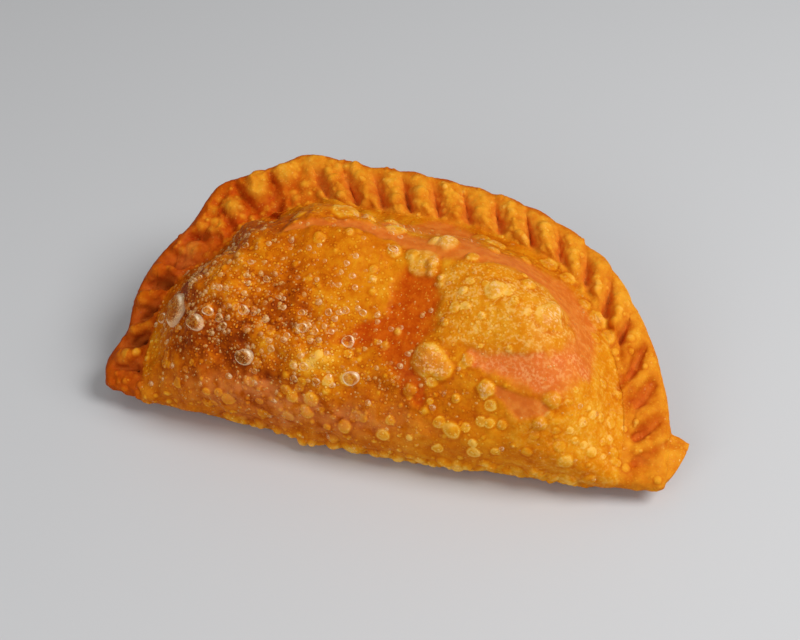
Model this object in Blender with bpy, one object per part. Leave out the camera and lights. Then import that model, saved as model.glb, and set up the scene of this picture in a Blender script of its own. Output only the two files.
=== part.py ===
"""A deep-fried empanada: a half-moon turnover with a rope-crimped rim.

A round of dough is folded in half over its filling, so the front is one plump rounded fold and
the rest of the outline is a flat sealed rim, pinched all along into slanted pleats.  The turnover
lies on its full underside, which has settled flat, and its seam leans back, so the rim stands
highest at the back and the two tips hang just clear of the surface.

It is worked out in its own seam frame first: "along" runs from the left tip to the right one,
"depth" from the fold to the back of the rim, and "height" stands square to the seam.  Then the
seam is leaned back, and the underside is settled on the ground.  Metres, +Z up.
"""

import math

import bmesh
import bpy
import numpy as np

MM = 0.001

# ---- the rim: the sealed edge, by its angle round the middle of the fold (0 right, 180 left)
RIM_RADIUS = 76.0 * MM
# where the rim reaches further out: angle, spread, reach in millimetres
RIM_REACHES = (
    (50.0, 26.0, 2.2),
    (129.0, 16.5, 13.0),
    (160.0, 13.0, 4.5),
    (178.0, 7.0, 2.2),
)
# the back left corner of the rim curls up a little, and the two tips droop
SHOULDER_ANGLE = 130.0
SHOULDER_SPREAD = 30.0
SHOULDER_LIFT = 3.0 * MM
TIP_DROOP = 2.0 * MM
DROOP_FROM = 50.0 * MM
DROOP_TO = 78.0 * MM
RIM_WIDTH = 12.0 * MM
RIM_WIDER_AT_BACK = 5.0 * MM
RIM_WIDEST_AT = 120.0
RIM_WIDE_SPREAD = 32.0
RIM_NARROWER_AT_LEFT = 4.5 * MM
RIM_NARROWEST_AT = 161.0
RIM_NARROW_SPREAD = 10.0
RIM_THICKNESS = 6.0 * MM

# ---- the pleats pinched into the rim
PLEATS = 24
FIRST_GROOVE = 3.3
GROOVE_PITCH = 7.27
PITCH_SWAY = 5.5
PITCH_RIPPLE = 1.7
PLEAT_RISE = 3.4 * MM
PLEAT_RISE_BELOW = 1.2 * MM
PLEAT_SCALLOP = 0.7 * MM
# share of a pleat's swell that stands below the plain rim, as the grooves are pressed into it
PLEAT_SUNK = 0.6
PLEAT_STEEPNESS = 0.65
PLEAT_ROUNDNESS = 0.8
PLEAT_SLANT = 7.0
PLEAT_SLANT_SWAY = 4.5
MOST_SLANTED_AT = 35.0

# ---- the end of the rim, tucked under the right corner
TAB_REACH = 6.0 * MM
TAB_FROM = -3.0
TAB_TO = 9.5

# ---- the fold along the front
FOLD_BULGE = 4.0 * MM
FOLD_CORNER = 4.0
FOLD_SAG = 2.6 * MM
FOLD_SAG_AT = 2.0 * MM
FOLD_SAG_SPREAD = 22.0 * MM

# ---- the belly
BELLY_MIDDLE = 31.0 * MM
CROWN = 19.0 * MM
KEEL = 24.0 * MM
CROWN_SHOULDERS = (34.0 * MM, 23.0 * MM)
KEEL_SHOULDERS = (44.0 * MM, 34.0 * MM)
# above 1 the belly meets the rim in a hollow: on top, below
RIM_ROUNDNESS = (1.3, 0.95)
# the share of the belly's rise where a swell begins, and where it is full
SWELL_FROM = 0.1
SWELL_FULL = 0.8
# swells of the upper side: along, depth, half-length, half-depth, height, all in millimetres
SWELLS = (
    (-25.0, 42.0, 21.0, 17.0, 4.5),
    (31.0, 33.0, 20.0, 17.0, 4.5),
    (-51.0, 30.0, 11.0, 13.0, 2.0),
    (-28.0, 12.0, 11.0, 7.0, 2.2),
    (5.0, 13.0, 8.0, 7.0, 1.5),
    (50.0, 13.0, 12.0, 8.0, 1.5),
    (1.0, 31.0, 8.0, 20.0, -2.6),
    (24.0, 58.0, 20.0, 5.0, -1.5),
)

# ---- how it lies
SEAM_LEAN = 24.0
TIP_HEIGHT = 8.0 * MM
SETTLE = 3.0 * MM

# ---- how finely it is drawn
# shares of a section, from the belly's middle outward, where the belly ends and the rounded edge starts
BELLY_SHARE = 0.55
RIM_SHARE = 0.92
THINNEST_SHARE = 0.0005
STEPS_PER_PLEAT = 10
FOLD_STEPS = 60
RINGS = 60
CROWDED = 0.1 * MM
FACES_KEPT = 0.26
FLATNESS = 0.02 * MM

CRUST_COLOR = (0.62, 0.21, 0.016, 1.0)


def smooth_step(value, start, end):
    """0 before start, 1 after end, and an even ease between them."""
    share = np.clip((value - start) / (end - start), 0.0, 1.0)
    return share * share * (3.0 - 2.0 * share)


def hump(value, middle, spread):
    """A bell of height 1."""
    return np.exp(-0.5 * ((value - middle) / spread) ** 2)


def groove_angles():
    """Where the grooves between the pleats lie: pinched by hand, so not quite evenly spaced."""
    count = np.arange(-1, PLEATS + 2)
    sway = PITCH_SWAY * np.sin(np.pi * count / PLEATS)
    ripple = PITCH_RIPPLE * np.sin(2 * np.pi * (count - 6.5) / 15)
    fading = np.clip((PLEATS - count) / 6, 0.0, 1.0)
    return FIRST_GROOVE + GROOVE_PITCH * count + sway + ripple * fading


def pleat_slant(angle):
    """How many degrees a groove turns between the outer and the inner side of the rim."""
    slant = PLEAT_SLANT + PLEAT_SLANT_SWAY * np.cos(np.radians(2 * (angle - MOST_SLANTED_AT)))
    return slant * smooth_step(angle, -2.0, 16.0) * smooth_step(180.0 - angle, -2.0, 16.0)


def pleat_swell(angle, across):
    """0 in a groove, 1 on a pleat, steeper on its right side; across is 0 by the belly, 1 at the edge."""
    straightened = angle - pleat_slant(angle) * (across - 0.5)
    grooves = groove_angles()
    count = np.interp(straightened, grooves, np.arange(len(grooves)))
    return np.sin(np.pi * (count - np.floor(count)) ** PLEAT_STEEPNESS) ** PLEAT_ROUNDNESS


def rim_radius(angle):
    """From the middle of the fold to the sealed edge."""
    radius = RIM_RADIUS
    for middle, spread, reach in RIM_REACHES:
        radius = radius + reach * MM * hump(angle, middle, spread)
    return radius


def rim_width(angle):
    """The flat of the rim, from the belly to the sealed edge."""
    width = RIM_WIDTH + RIM_WIDER_AT_BACK * hump(angle, RIM_WIDEST_AT, RIM_WIDE_SPREAD)
    return width - RIM_NARROWER_AT_LEFT * hump(angle, RIM_NARROWEST_AT, RIM_NARROW_SPREAD)


def fold_line(along):
    """How deep the fold lies: bulging forward, most of all a little right of its middle."""
    reach = np.where(along < 0, rim_radius(180.0), rim_radius(0.0))
    square = np.clip(1.0 - np.abs(along / reach) ** FOLD_CORNER, 0.0, 1.0)
    return -FOLD_BULGE * square ** (1 / FOLD_CORNER) - FOLD_SAG * hump(along, FOLD_SAG_AT, FOLD_SAG_SPREAD)


def outline(angle, travel, on_rim):
    """The outline in the seam: the rim by its angle, or the fold by its travel from left to right."""
    rim = np.radians(angle)
    reach = np.where(travel < 0, rim_radius(180.0), rim_radius(0.0))
    along = np.where(on_rim, rim_radius(angle) * np.cos(rim), reach * travel)
    depth = np.where(on_rim, rim_radius(angle) * np.sin(rim), fold_line(along))
    return along, depth


def rounded(distance, radius, roundness=0.5):
    """0 at the outline, rising like a round shoulder to 1 at radius inside it."""
    slack = 1 - np.clip(distance / radius, 0.0, 1.0)
    return (1 - slack ** 2) ** roundness


def half_height(along, depth, upper):
    """From the seam up to the crown, or down to the keel."""
    angle = np.degrees(np.arctan2(np.maximum(depth, 0.0), along))
    from_edge = rim_radius(angle) - np.hypot(along, depth)
    from_fold = depth - fold_line(along)
    fold_shoulder = np.where(upper, CROWN_SHOULDERS[0], KEEL_SHOULDERS[0])
    rim_shoulder = np.where(upper, CROWN_SHOULDERS[1], KEEL_SHOULDERS[1])
    belly = rounded(from_fold, fold_shoulder)
    roundness = np.where(upper, RIM_ROUNDNESS[0], RIM_ROUNDNESS[1])
    belly = belly * rounded(from_edge - rim_width(angle), rim_shoulder, roundness)
    half = RIM_THICKNESS / 2
    dough = half * rounded(from_edge, half) * rounded(from_fold, half)
    height = dough + np.where(upper, CROWN, KEEL) * belly
    for middle, back, half_length, half_depth, swell in SWELLS:
        bell = hump(along / MM, middle, half_length) * hump(depth / MM, back, half_depth)
        height = height + np.where(upper, swell * MM * bell * smooth_step(belly, SWELL_FROM, SWELL_FULL), 0.0)
    return height


def belly_limit(out_along, out_depth, angle):
    """Share of the way from the belly's middle out to the outline where the flat of the rim begins."""
    inner = rim_radius(angle) - rim_width(angle)
    step = out_depth - BELLY_MIDDLE
    square = out_along ** 2 + step ** 2
    root = np.sqrt((BELLY_MIDDLE * step) ** 2 + square * (inner ** 2 - BELLY_MIDDLE ** 2))
    return np.minimum((root - BELLY_MIDDLE * step) / square, 1.0)


def surface(turn, drop):
    """Points of the crust: turn goes once round the outline, drop from the crown (0) to the keel (1)."""
    rim_share = PLEATS * STEPS_PER_PLEAT / (PLEATS * STEPS_PER_PLEAT + FOLD_STEPS)
    on_rim = turn <= rim_share
    angle = 180.0 * np.clip(turn / rim_share, 0.0, 1.0)
    folded = np.clip((turn - rim_share) / (1 - rim_share), 0.0, 1.0)
    travel = folded - 0.5 - 0.5 * np.cos(np.pi * folded)
    upper = drop <= 0.5
    outward = np.where(upper, 2 * drop, 2 * (1 - drop))

    # the flat of the rim narrows to nothing where the fold's round nose begins
    plain_along, plain_depth = outline(angle, travel, on_rim)
    angle = np.where(on_rim, angle, np.where(plain_along < 0, 180.0, 0.0))
    plain_reach = np.hypot(plain_along, plain_depth - BELLY_MIDDLE)
    flat = plain_reach * (1 - belly_limit(plain_along, plain_depth, angle)) / rim_width(angle)
    nose = 1 - smooth_step(flat, 0.0, 1.0)

    # three stretches of the section: belly, flat of the rim, rounded edge
    belly_ends = BELLY_SHARE + (1 - 2 * THINNEST_SHARE - BELLY_SHARE) * nose
    edge_starts = RIM_SHARE + (1 - THINNEST_SHARE - RIM_SHARE) * nose
    belly_turn = np.clip(outward / belly_ends, 0.0, 1.0) * np.pi / 2
    across = np.clip((outward - belly_ends) / (edge_starts - belly_ends), 0.0, 1.0)
    edge_turn = np.clip((outward - edge_starts) / (1 - edge_starts), 0.0, 1.0) * np.pi / 2
    leaning = pleat_slant(angle) * (across - 0.5) * smooth_step(belly_turn, 0.7, np.pi / 2)
    angle = angle + np.where(on_rim, leaning, 0.0)
    out_along, out_depth = outline(angle, travel, on_rim)
    reach = np.hypot(out_along, out_depth - BELLY_MIDDLE)

    inner = belly_limit(out_along, out_depth, angle)
    edge = np.maximum(1 - RIM_THICKNESS / 2 * (1 - nose) / reach, inner)
    reach_share = inner * np.sin(belly_turn) + (edge - inner) * across + (1 - edge) * np.sin(edge_turn)
    along = out_along * reach_share
    depth = BELLY_MIDDLE + (out_depth - BELLY_MIDDLE) * reach_share
    height = half_height(along, depth, upper)

    # pleats: deep by the belly, fading before the sealed edge, none at the very tips
    from_tip = np.minimum(angle, 180.0 - angle)
    pleat = np.where(on_rim, pleat_swell(angle, across) - PLEAT_SUNK, 0.0) * smooth_step(from_tip, 0.0, 4.0)
    deep = smooth_step(belly_turn, 1.05, np.pi / 2) * (1.0 - 0.85 * smooth_step(across, 0.15, 1.0))
    height = height + np.where(upper, PLEAT_RISE, PLEAT_RISE_BELOW) * pleat * deep
    tab = smooth_step(angle, TAB_FROM, TAB_TO) * (1 - smooth_step(angle, TAB_TO - 0.8, TAB_TO + 0.8))
    tab = np.where(on_rim & (np.where(upper, outward, 1.0) > 0.995), TAB_REACH * tab, 0.0)
    push = PLEAT_SCALLOP * pleat * smooth_step(across, 0.4, 1.0) + tab * smooth_step(outward, 0.6, 0.9)
    along = along + push * out_along / reach
    depth = depth + push * (out_depth - BELLY_MIDDLE) / reach

    height = np.where(upper, height, -height)
    bearing = np.degrees(np.arctan2(np.maximum(depth, 0.0), along))
    lift = SHOULDER_LIFT * hump(bearing, SHOULDER_ANGLE, SHOULDER_SPREAD) * reach_share ** 2
    droop = TIP_DROOP * smooth_step(np.abs(along), DROOP_FROM, DROOP_TO)
    return along, depth, height + lift - droop


def lay_down(along, depth, height):
    """Lean the seam back and settle the underside flat on the ground."""
    lean = math.radians(SEAM_LEAN)
    back = depth * math.cos(lean) - height * math.sin(lean)
    up = TIP_HEIGHT + depth * math.sin(lean) + height * math.cos(lean)
    eased = (up + SETTLE) ** 2 / (4 * SETTLE)
    up = np.where(up > SETTLE, up, np.where(up < -SETTLE, 0.0, eased))
    return along, back, up


def crust_material():
    """Fried dough, coloured orange, with a thin film of oil."""
    material = bpy.data.materials.new("crust")
    material.use_nodes = True
    shader = material.node_tree.nodes["Principled BSDF"]
    shader.inputs["Base Color"].default_value = CRUST_COLOR
    shader.inputs["Roughness"].default_value = 0.4
    shader.inputs["Metallic"].default_value = 0.0
    return material


def build_empanada(collection):
    """A ball whose equator becomes the outline, its top half the crown and its lower half the keel."""
    columns = PLEATS * STEPS_PER_PLEAT + FOLD_STEPS
    ball = bmesh.new()
    bmesh.ops.create_uvsphere(ball, u_segments=columns, v_segments=RINGS, radius=1.0)
    points = np.array([vertex.co for vertex in ball.verts])
    turn = np.arctan2(points[:, 1], points[:, 0]) / (2 * np.pi)
    turn = np.round(turn * columns) / columns % 1.0
    drop = np.arccos(np.clip(points[:, 2], -1.0, 1.0)) / np.pi
    drop = np.round(drop * RINGS) / RINGS
    along, back, up = lay_down(*surface(turn, drop))
    along = along - (along.min() + along.max()) / 2
    back = back - (back.min() + back.max()) / 2
    for vertex, x, y, z in zip(ball.verts, along, back, up):
        vertex.co = (x, y, z)
    bmesh.ops.remove_doubles(ball, verts=ball.verts, dist=CROWDED)
    mesh = bpy.data.meshes.new("empanada")
    ball.to_mesh(mesh)
    ball.free()
    mesh.shade_smooth()
    mesh.materials.append(crust_material())
    empanada = bpy.data.objects.new("empanada", mesh)
    collection.objects.link(empanada)
    thin_out(empanada)
    return empanada


def thin_out(empanada):
    """Fewer faces where the crust is smooth, and the settled underside kept exactly flat."""
    thinner = empanada.modifiers.new("fewer faces", "DECIMATE")
    thinner.ratio = FACES_KEPT
    evaluated = empanada.evaluated_get(bpy.context.evaluated_depsgraph_get())
    thinned = bpy.data.meshes.new_from_object(evaluated)
    empanada.modifiers.remove(thinner)
    empanada.data = thinned
    for vertex in thinned.vertices:
        if vertex.co.z < FLATNESS:
            vertex.co.z = 0.0


def main():
    for old in list(bpy.data.objects):
        bpy.data.objects.remove(old, do_unlink=True)
    collection = bpy.data.collections.new("empanada")
    bpy.context.scene.collection.children.link(collection)
    build_empanada(collection)


main()
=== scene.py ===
"""The looks of a deep-fried empanada: a crisp blistered belly, a rope-crimped rim and the fry bubbles.

The crust is drawn in the turnover's own seam frame, in millimetres: "along" runs from the left tip to
the right one, "depth" from the fold to the back of the rim, and "height" stands square to the seam.
Round the rim a place has an angle about the middle of the fold, 0 at the right tip and 180 at the left.
Then the seam is leaned back and the underside settles flat, as it does on the solid.
"""

import math

import bpy
import numpy as np
from mathutils import Matrix, Vector


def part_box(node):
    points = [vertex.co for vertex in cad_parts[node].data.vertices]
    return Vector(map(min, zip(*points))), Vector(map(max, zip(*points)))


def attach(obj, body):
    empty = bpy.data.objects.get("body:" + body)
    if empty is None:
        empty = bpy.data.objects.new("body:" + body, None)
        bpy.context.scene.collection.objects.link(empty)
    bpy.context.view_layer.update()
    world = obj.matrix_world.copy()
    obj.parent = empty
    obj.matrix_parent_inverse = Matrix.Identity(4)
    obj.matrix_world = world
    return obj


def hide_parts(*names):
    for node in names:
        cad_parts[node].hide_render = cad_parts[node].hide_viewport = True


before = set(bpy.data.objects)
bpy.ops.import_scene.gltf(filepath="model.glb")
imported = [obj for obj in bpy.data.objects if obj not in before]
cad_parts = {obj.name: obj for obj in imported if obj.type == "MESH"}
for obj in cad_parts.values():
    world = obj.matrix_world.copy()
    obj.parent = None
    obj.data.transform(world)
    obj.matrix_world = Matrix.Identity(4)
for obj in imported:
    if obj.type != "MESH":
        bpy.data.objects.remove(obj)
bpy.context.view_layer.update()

MM = 0.001
NODE = "empanada"
FAR = 99.0

# ---- the plain form of the turnover; round the rim, a hump is its middle, its spread and its height
RIM_RADIUS = 76
RIM_REACHES = (
    (50, 26, 2.2), (129, 16.5, 13), (160, 13, 4.5), (178, 7, 2.2), (117.5, 2.6, 1.7), (128, 2.8, -1.4),
    (135.6, 2.6, 1.6), (144, 3, -1.2), (156, 4, 0.8), (168, 3.4, -1.1), (32, 9, -0.8),
)
RIM_WIDTH = 12
RIM_WIDENINGS = ((120, 32, 5), (161, 10, -4.5))
HALF_THICKNESS = 3
SHOULDER_ANGLE, SHOULDER_SPREAD, SHOULDER_LIFT, SHOULDER_CURL = 130, 30, 3, 2.5
TIP_DROOP = 2
DROOPING = (50, 78)
FOLD_BULGE, FOLD_CORNER = 4, 4
FOLD_SAG, FOLD_SAG_AT, FOLD_SAG_SPREAD = 2.6, 2, 22
# each of these pairs is for above the seam and for below it
CROWNS = (19, 24)
FOLD_SHOULDERS = (34, 44)
RIM_SHOULDERS = (23, 34)
RIM_ROUNDNESS = (1.3, 0.95)
# gentle swells of the belly: along, depth, half-length, half-depth, height
SWELLS = (
    (-25, 42, 21, 17, 4.5), (31, 33, 20, 17, 4.5), (-51, 30, 11, 13, 2), (-28, 12, 11, 7, 2.2),
    (5, 13, 8, 7, 1.5), (50, 13, 12, 8, 1.5), (1, 31, 8, 20, -2.6), (24, 58, 20, 5, -1.5),
)
SWELL_FADING = (0.1, 0.8)
SEAM_LEAN = 24
TIP_HEIGHT = 8
SETTLE = 3

# ---- how finely the crust is drawn
SIDE_STEPS = 240
FRONT_STEPS = 400
RIM_STEPS = 2 * SIDE_STEPS + FRONT_STEPS
FLAT_ROWS = 44
EDGE_ROWS = 9
UNDER_ROWS = 24
CROWDING, CROWDED_OVER = 0.75, 0.012
UNFOLDINGS = 12
SLOPES = 256


def ease(value, start, end):
    """0 before start, 1 after end, and a smooth step between them."""
    share = np.clip((value - start) / (end - start), 0, 1)
    return share * share * (3 - 2 * share)


def add_steps(base, value, steps):
    """A base plus smooth steps: where each starts and ends, and how much it adds."""
    for start, end, height in steps:
        base = base + height * ease(value, start, end)
    return base


def hump(value, middle, spread):
    """A bell of height 1."""
    return np.exp(-0.5 * ((value - middle) / spread) ** 2)


def add_humps(base, value, humps):
    """A base plus bells: the middle, the spread and the height of each."""
    for middle, spread, height in humps:
        base = base + height * hump(value, middle, spread)
    return base


def unit(vectors, least=0):
    """Vectors brought to a length of 1, those under the least length to less."""
    return vectors / np.maximum(np.linalg.norm(vectors, axis=-1, keepdims=True), least)


def unevenness(points, size, seed):
    """Smooth random swells about size apart, from about -1 to 1."""
    random = np.random.default_rng(seed)
    slopes = random.normal(size=(SLOPES, 3))
    shuffle = random.permutation(SLOPES)
    cell = np.asarray(points) / size
    corner = np.floor(cell).astype(np.int64)
    part = cell - corner
    eased = part * part * part * (part * (part * 6 - 15) + 10)
    total = np.zeros(len(cell))
    wrap = SLOPES - 1
    for step in np.ndindex(2, 2, 2):
        x, y, z = ((corner + step) & wrap).T
        pick = shuffle[(shuffle[(shuffle[x] + y) & wrap] + z) & wrap]
        weight = np.prod(np.where(step, eased, 1 - eased), axis=1)
        total += weight * np.sum(slopes[pick] * (part - step), axis=1)
    return total


# ---- the plain form


def rim_radius(angle):
    """From the middle of the fold to the sealed edge."""
    return add_humps(RIM_RADIUS, np.clip(angle, 0, 180), RIM_REACHES)


def rim_width(angle):
    """The flat of the rim, from the belly to the sealed edge."""
    return add_humps(RIM_WIDTH, np.clip(angle, 0, 180), RIM_WIDENINGS)


def fold_line(along):
    """How deep the fold lies: bulging forward, most of all a little right of its middle."""
    reach = np.where(along < 0, rim_radius(180), rim_radius(0))
    square = np.clip(1 - np.abs(along / reach) ** FOLD_CORNER, 0, 1)
    return -FOLD_BULGE * square ** (1 / FOLD_CORNER) - FOLD_SAG * hump(along, FOLD_SAG_AT, FOLD_SAG_SPREAD)


def rounded(distance, radius, roundness=0.5):
    """0 at the outline, rising like a round shoulder to 1 at radius inside it."""
    slack = 1 - np.clip(distance / radius, 0, 1)
    return (1 - slack**2) ** roundness


def rim_place(along, depth):
    """The angle round the middle of the fold, and how far inside the sealed edge."""
    angle = np.degrees(np.arctan2(np.maximum(depth, 0), along))
    return angle, rim_radius(angle) - np.hypot(along, depth)


def half_height(along, depth, upper):
    """From the seam up to the crown, or down to the keel, before the pleats."""
    angle, from_edge = rim_place(along, depth)
    from_fold = depth - fold_line(along)
    pairs = (CROWNS, FOLD_SHOULDERS, RIM_SHOULDERS, RIM_ROUNDNESS)
    crown, fold_shoulder, rim_shoulder, roundness = (np.where(upper, *pair) for pair in pairs)
    belly = rounded(from_fold, fold_shoulder)
    belly = belly * rounded(from_edge - rim_width(angle), rim_shoulder, roundness)
    dough = HALF_THICKNESS * rounded(from_edge, HALF_THICKNESS) * rounded(from_fold, HALF_THICKNESS)
    height = dough + crown * belly
    for middle, back, half_length, half_depth, swell in SWELLS:
        bell = hump(along, middle, half_length) * hump(depth, back, half_depth)
        height = height + np.where(upper, swell * bell * ease(belly, *SWELL_FADING), 0)
    return height


def lay_down(along, depth, height):
    """Curl the rim's corner, lean the seam back and settle the underside flat on the ground."""
    angle, from_edge = rim_place(along, depth)
    share = np.clip(1 - from_edge / rim_radius(angle), 0, 1.2)
    height = height + SHOULDER_LIFT * hump(angle, SHOULDER_ANGLE, SHOULDER_SPREAD) * share**SHOULDER_CURL
    height = height - TIP_DROOP * ease(np.abs(along), *DROOPING)
    lean = math.radians(SEAM_LEAN)
    back = depth * math.cos(lean) - height * math.sin(lean)
    up = TIP_HEIGHT + depth * math.sin(lean) + height * math.cos(lean)
    eased = (up + SETTLE) ** 2 / (4 * SETTLE)
    up = np.where(up > SETTLE, up, np.where(up < -SETTLE, 0, eased))
    return np.stack([along, back, up], axis=-1)


# ---- the pleats; their angles are in degrees round the rim, and a stretch is where it starts and ends

PLEATS = 24
FIRST_GROOVE, GROOVE_PITCH = 3.3, 7.27
PITCH_SWAY = 5.5
PITCH_RIPPLE, RIPPLE_FROM, RIPPLE_LENGTH, RIPPLE_FADING = 1.7, 6.5, 15, 6
PLEAT_SLANT, PLEAT_SLANT_SWAY, MOST_SLANTED_AT = 7, 4.5, 35
TIP_SLANTING = (-2, 16)
PLEAT_SEED = 21
PLEAT_FULLNESS = (0.78, 1.12)
PLEAT_CUTS = (0.75, 1.12)
PLEAT_RISE, PLEAT_RISE_BELOW = 3.6, 1.4
PLEAT_SUNK = 0.55
PLEAT_STEEPNESS, STEEPER_AT_LEFT = 0.82, 0.2
PLEAT_ROUNDNESS, ROUNDER_AT_LEFT = 1, 0.35
LEFT_PLEATS = (144, 154)
TIP_FADING = (0, 4)
PLEAT_STRENGTH = 0.72
PLEAT_STRONGER = ((22, 32, 0.28), (150, 158, 0.25))
CORNER_ANGLE, CORNER_SPREAD, CORNER_EASE, CORNER_SMOOTHED = 134, 20, 6, 0.95
OUTWARD_FROM, OUTWARD_TO = 0.38, 0.95
OUTWARD_LATER = ((148, 158, 0.15),)
DENTS_LATE, DENTS_EASE = 0.12, 0.18
DENTING = (50, 68)
FILLER, FILLER_SPREAD, FILLER_LOST = 1.3, 2.6, 0.8
FILLER_FADING = (138, 150)
# pits in the grooves, as humps across the rim: everywhere, and the hollows at the left
PIT = (0.22, 0.12, 0.35)
HOLLOW = (0.15, 0.22, 1.2)
# the end of the rim that sticks out under the right corner
TAB_REACH = 5.2
TAB_FROM, TAB_TO, TAB_SOFTNESS = -3, 9.5, 0.8
TAB_GRIP = (0.3, 0.8)
FOLD_KEPT = 1.5


def groove_angles():
    """Where the grooves between the pleats lie: pinched by hand, so not quite evenly spaced."""
    count = np.arange(-1, PLEATS + 2)
    sway = PITCH_SWAY * np.sin(np.pi * count / PLEATS)
    ripple = PITCH_RIPPLE * np.sin(2 * np.pi * (count - RIPPLE_FROM) / RIPPLE_LENGTH)
    fading = np.clip((PLEATS - count) / RIPPLE_FADING, 0, 1)
    return FIRST_GROOVE + GROOVE_PITCH * count + sway + ripple * fading


def pleat_slant(angle):
    """How many degrees a groove turns between the outer and the inner side of the rim."""
    slant = PLEAT_SLANT + PLEAT_SLANT_SWAY * np.cos(np.radians(2 * (angle - MOST_SLANTED_AT)))
    return slant * ease(angle, *TIP_SLANTING) * ease(180 - angle, *TIP_SLANTING)


def pleat_place(angle, across):
    """How many grooves lie between the right tip and a point, in whole pleats and parts of one."""
    straightened = angle - pleat_slant(angle) * (across - 0.5)
    grooves = groove_angles()
    return np.interp(straightened, grooves, np.arange(len(grooves)))


def pleat_relief(along, depth, side):
    """The height of the pleats over the plain rim, how deep in a groove a point lies, from 0 to 1, and
    how high on a pleat. The side is 1 on top and 0 below; each finger's press left its own depth."""
    angle, from_edge = rim_place(along, depth)
    width = rim_width(angle)
    across = np.clip(1 - from_edge / width, 0, 1)
    count = pleat_place(angle, across)
    which = np.floor(count).astype(int)
    random = np.random.default_rng(PLEAT_SEED)
    presses = PLEATS + 4
    fullness = random.uniform(*PLEAT_FULLNESS, presses)[which]
    cut = np.interp(count, np.arange(presses), random.uniform(*PLEAT_CUTS, presses))
    at_left = ease(angle, *LEFT_PLEATS)
    profile = np.sin(np.pi * (count - which) ** (PLEAT_STEEPNESS + STEEPER_AT_LEFT * at_left))
    swell = profile ** (PLEAT_ROUNDNESS + ROUNDER_AT_LEFT * at_left)
    from_tip = np.minimum(angle, 180 - angle)
    present = ease(from_tip, *TIP_FADING) * ease(depth - fold_line(along), *TIP_FADING)
    present = present * add_steps(PLEAT_STRENGTH, angle, PLEAT_STRONGER)
    in_corner = ease(CORNER_SPREAD - np.abs(angle - CORNER_ANGLE), 0, CORNER_EASE)
    present = present * (1 - CORNER_SMOOTHED * in_corner)
    outward = ease(across, add_steps(OUTWARD_FROM, angle, OUTWARD_LATER), OUTWARD_TO)
    started = across - DENTS_LATE * (1 - ease(angle, *DENTING))
    fading = present * ease(started, 0, DENTS_EASE) * (1 - outward)
    rise = PLEAT_RISE_BELOW + (PLEAT_RISE - PLEAT_RISE_BELOW) * side
    filler = FILLER * side * present * hump(from_edge - width, 0, FILLER_SPREAD)
    filler = filler * (1 - FILLER_LOST * ease(angle, *FILLER_FADING))
    groove = np.clip(1 - swell, 0, 1) * fading
    pit = add_humps(0, across, (PIT,)) + at_left * add_humps(0, across, (HOLLOW,))
    relief = rise * (swell * fullness - PLEAT_SUNK * cut) * fading - side * groove**2 * pit + filler
    return relief, groove, swell * present


# ---- the three sheets of the crust


def fold_reach(side):
    """How far along the fold the belly reaches before the flat of the rim."""
    inner = rim_radius(90 - 90 * side) - rim_width(90 - 90 * side)
    reach = inner
    for _ in range(8):
        reach = math.sqrt(inner**2 - float(fold_line(np.array(side * reach))) ** 2)
    return reach


def end_angle(radius, side):
    """The angle at which a ring of this radius meets the fold, at the right (1) or the left tip (-1)."""
    along = radius
    for _ in range(6):
        depth = fold_line(side * along)
        along = np.sqrt(np.maximum(radius**2 - depth**2, 1))
    angle = np.degrees(np.arctan2(depth, side * along))
    return angle % 360 if side < 0 else angle


def rim_ring(share, slack):
    """One line round the rim, from the right tip to the left one. The share is 0 by the belly and 1
    where the edge rounds off; from there the slack is 0, and 1 on the sealed edge itself."""

    def radius_at(angle):
        width = rim_width(angle)
        inset = width + (HALF_THICKNESS - width) * share if share < 1 else HALF_THICKNESS * (1 - slack)
        return rim_radius(angle) - inset

    line = np.linspace(0, 1, RIM_STEPS)
    crowd = 1 - CROWDING * (hump(line, 0, CROWDED_OVER) + hump(line, 1, CROWDED_OVER))
    travel = np.concatenate([[0], np.cumsum(crowd)])
    travel = travel / travel[-1]
    angle = 180 * travel
    for _ in range(4):
        radius = radius_at(angle)
        right, left = end_angle(radius, 1), end_angle(radius, -1)
        angle = right + (left - right) * travel
        angle = angle + pleat_slant(angle) * (share - 0.5)
    radius, turn = radius_at(angle), np.radians(angle)
    along, depth = radius * np.cos(turn), radius * np.sin(turn)
    for tip in (0, -1):
        depth[tip] = fold_line(along[tip])
    return np.stack([along, depth], axis=-1)


def rim_sheet():
    """The rim's lines over its upper flat, round its edge and over its lower flat: their plan points,
    whether they are above the seam, and how much the tab pushes them outward."""
    lines = [(row / FLAT_ROWS, 0, True, 0) for row in range(FLAT_ROWS)]
    lines += [(1, math.sin(math.pi / 2 * row / EDGE_ROWS), True, 0) for row in range(EDGE_ROWS)]
    lines += [(1, math.cos(math.pi / 2 * row / EDGE_ROWS), False, 1) for row in range(EDGE_ROWS + 1)]
    for row in range(1, UNDER_ROWS + 1):
        share = 1 - row / UNDER_ROWS
        lines.append((share, 0, False, float(ease(share, *TAB_GRIP))))
    plan = np.array([rim_ring(share, slack) for share, slack, _, _ in lines])
    _, _, *columns = (np.array(column)[:, None] for column in zip(*lines))
    upper, outward = (np.repeat(column, RIM_STEPS + 1, axis=1) for column in columns)
    return plan, upper, outward


def even_out(plan, upper, axis):
    """Spread the points of each line evenly along the surface, with the line's ends kept."""
    height = half_height(plan[..., 0], plan[..., 1], upper)
    surface = np.concatenate([plan, height[..., None]], axis=-1)
    lines = np.moveaxis(surface, axis, 1)
    even = np.empty_like(lines[..., :2])
    for number, line in enumerate(lines):
        length = np.concatenate([[0], np.cumsum(np.linalg.norm(np.diff(line, axis=0), axis=1))])
        wanted = np.linspace(0, length[-1], len(line))
        even[number] = np.stack([np.interp(wanted, length, line[:, side]) for side in range(2)], axis=-1)
    even[0], even[-1] = lines[0][:, :2], lines[-1][:, :2]
    return np.moveaxis(even, 1, axis)


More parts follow.
